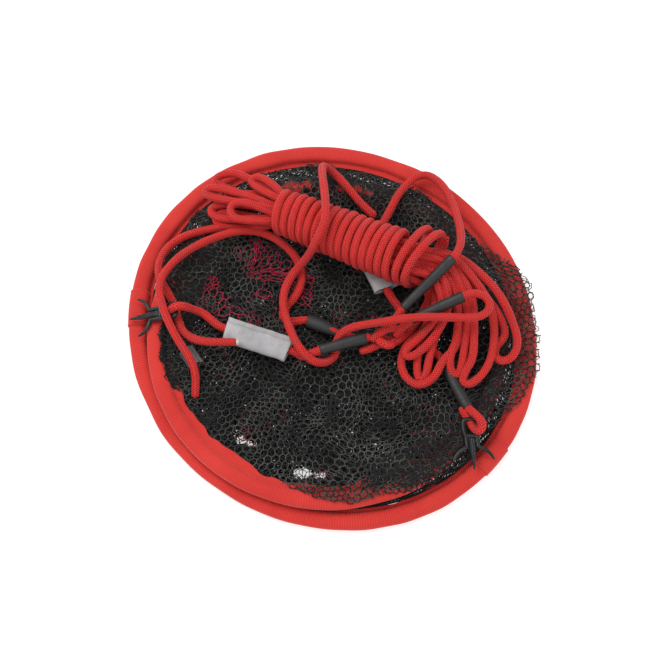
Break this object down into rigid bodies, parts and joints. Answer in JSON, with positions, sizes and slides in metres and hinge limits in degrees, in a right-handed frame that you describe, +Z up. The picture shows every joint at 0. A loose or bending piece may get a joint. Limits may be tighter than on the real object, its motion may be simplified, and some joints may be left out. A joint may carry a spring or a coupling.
{
  "type": "folding crab trap",
  "caption": "Drop-net crab trap folded flat: two fabric-sleeved spring hoops, mesh wall and floor, bait pouch, four bridle legs with clips and a hanked hauling line.",
  "frame": {"origin": "on the surface it lies on, under the middle of the large hoop", "axes": "+Z up out of the hoops, the way the small hoop is pulled clear of the large one; the front is -Y, the left clip is at -X"},
  "size_m": [0.2965, 0.299, 0.0618],
  "materials": {
    "hoop_sleeve": "ribbed woven polyester, matt",
    "spring_wire": "bright drawn spring steel",
    "ferrule": "crimped, satin",
    "patch": "ribbed woven polyester wrap, matt",
    "black_net": "knotted nylon mesh, slightly glossy",
    "red_net": "knotted nylon mesh, slightly glossy",
    "clip_plastic": "moulded, satin",
    "clip_pin": "plain pin",
    "braid": "braided polyester cord, matt",
    "heat_shrink": "shrunk polyolefin, matt",
    "tag_fabric": "coated reflective fabric, satin"
  },
  "bodies": {
    "large_hoop": {"large_hoop_sleeve": "hoop_sleeve", "large_hoop_wire": "spring_wire", "large_hoop_ferrule": "ferrule", "large_hoop_patches": "patch", "wall_net": "black_net"},
    "small_hoop": {"small_hoop_sleeve": "hoop_sleeve", "small_hoop_wire": "spring_wire", "small_hoop_ferrule": "ferrule", "floor_net": "black_net", "wall_slack_net": "black_net", "bait_pouch": "red_net", "left_clip_body": "clip_plastic", "left_clip_pin": "clip_pin", "right_clip_body": "clip_plastic", "right_clip_pin": "clip_pin", "hank_wraps": "braid", "hank_left_bights": "braid", "hank_right_bights": "braid", "gather_knot": "braid", "leg_1_cord": "braid", "leg_2_cord": "braid", "leg_3_cord": "braid", "leg_4_cord": "braid", "line_tail": "braid", "line_lead": "braid", "leg_1_knot_splice": "heat_shrink", "leg_2_knot_splice": "heat_shrink", "leg_3_knot_splice": "heat_shrink", "leg_4_knot_splice": "heat_shrink", "leg_2_clip_splice": "heat_shrink", "leg_1_tag_sleeve": "tag_fabric", "leg_2_tag_sleeve": "tag_fabric", "leg_3_tag_sleeve": "tag_fabric"},
    "left_finger": {"left_clip_finger": "clip_plastic"},
    "right_finger": {"right_clip_finger": "clip_plastic"}
  },
  "joints": [
    {"name": "hoop_spread", "type": "slide", "parent": "large_hoop", "child": "small_hoop", "axis": [0, 0, 1], "range_m": [0, 0.11], "deforming": ["wall_net"]},
    {"name": "left_clip_flex", "type": "hinge", "parent": "small_hoop", "child": "left_finger", "pos_m": [-0.12646, 0.00739, 0.01914], "axis": [-0.0698, 0.9976, 0], "range_deg": [0, 25], "stiffness_Nm_per_rad": 0.02},
    {"name": "right_clip_flex", "type": "hinge", "parent": "small_hoop", "child": "right_finger", "pos_m": [0.09787, -0.08742, 0.01724], "axis": [-0.9976, -0.0698, 0], "range_deg": [0, 25], "stiffness_Nm_per_rad": 0.02}
  ]
}
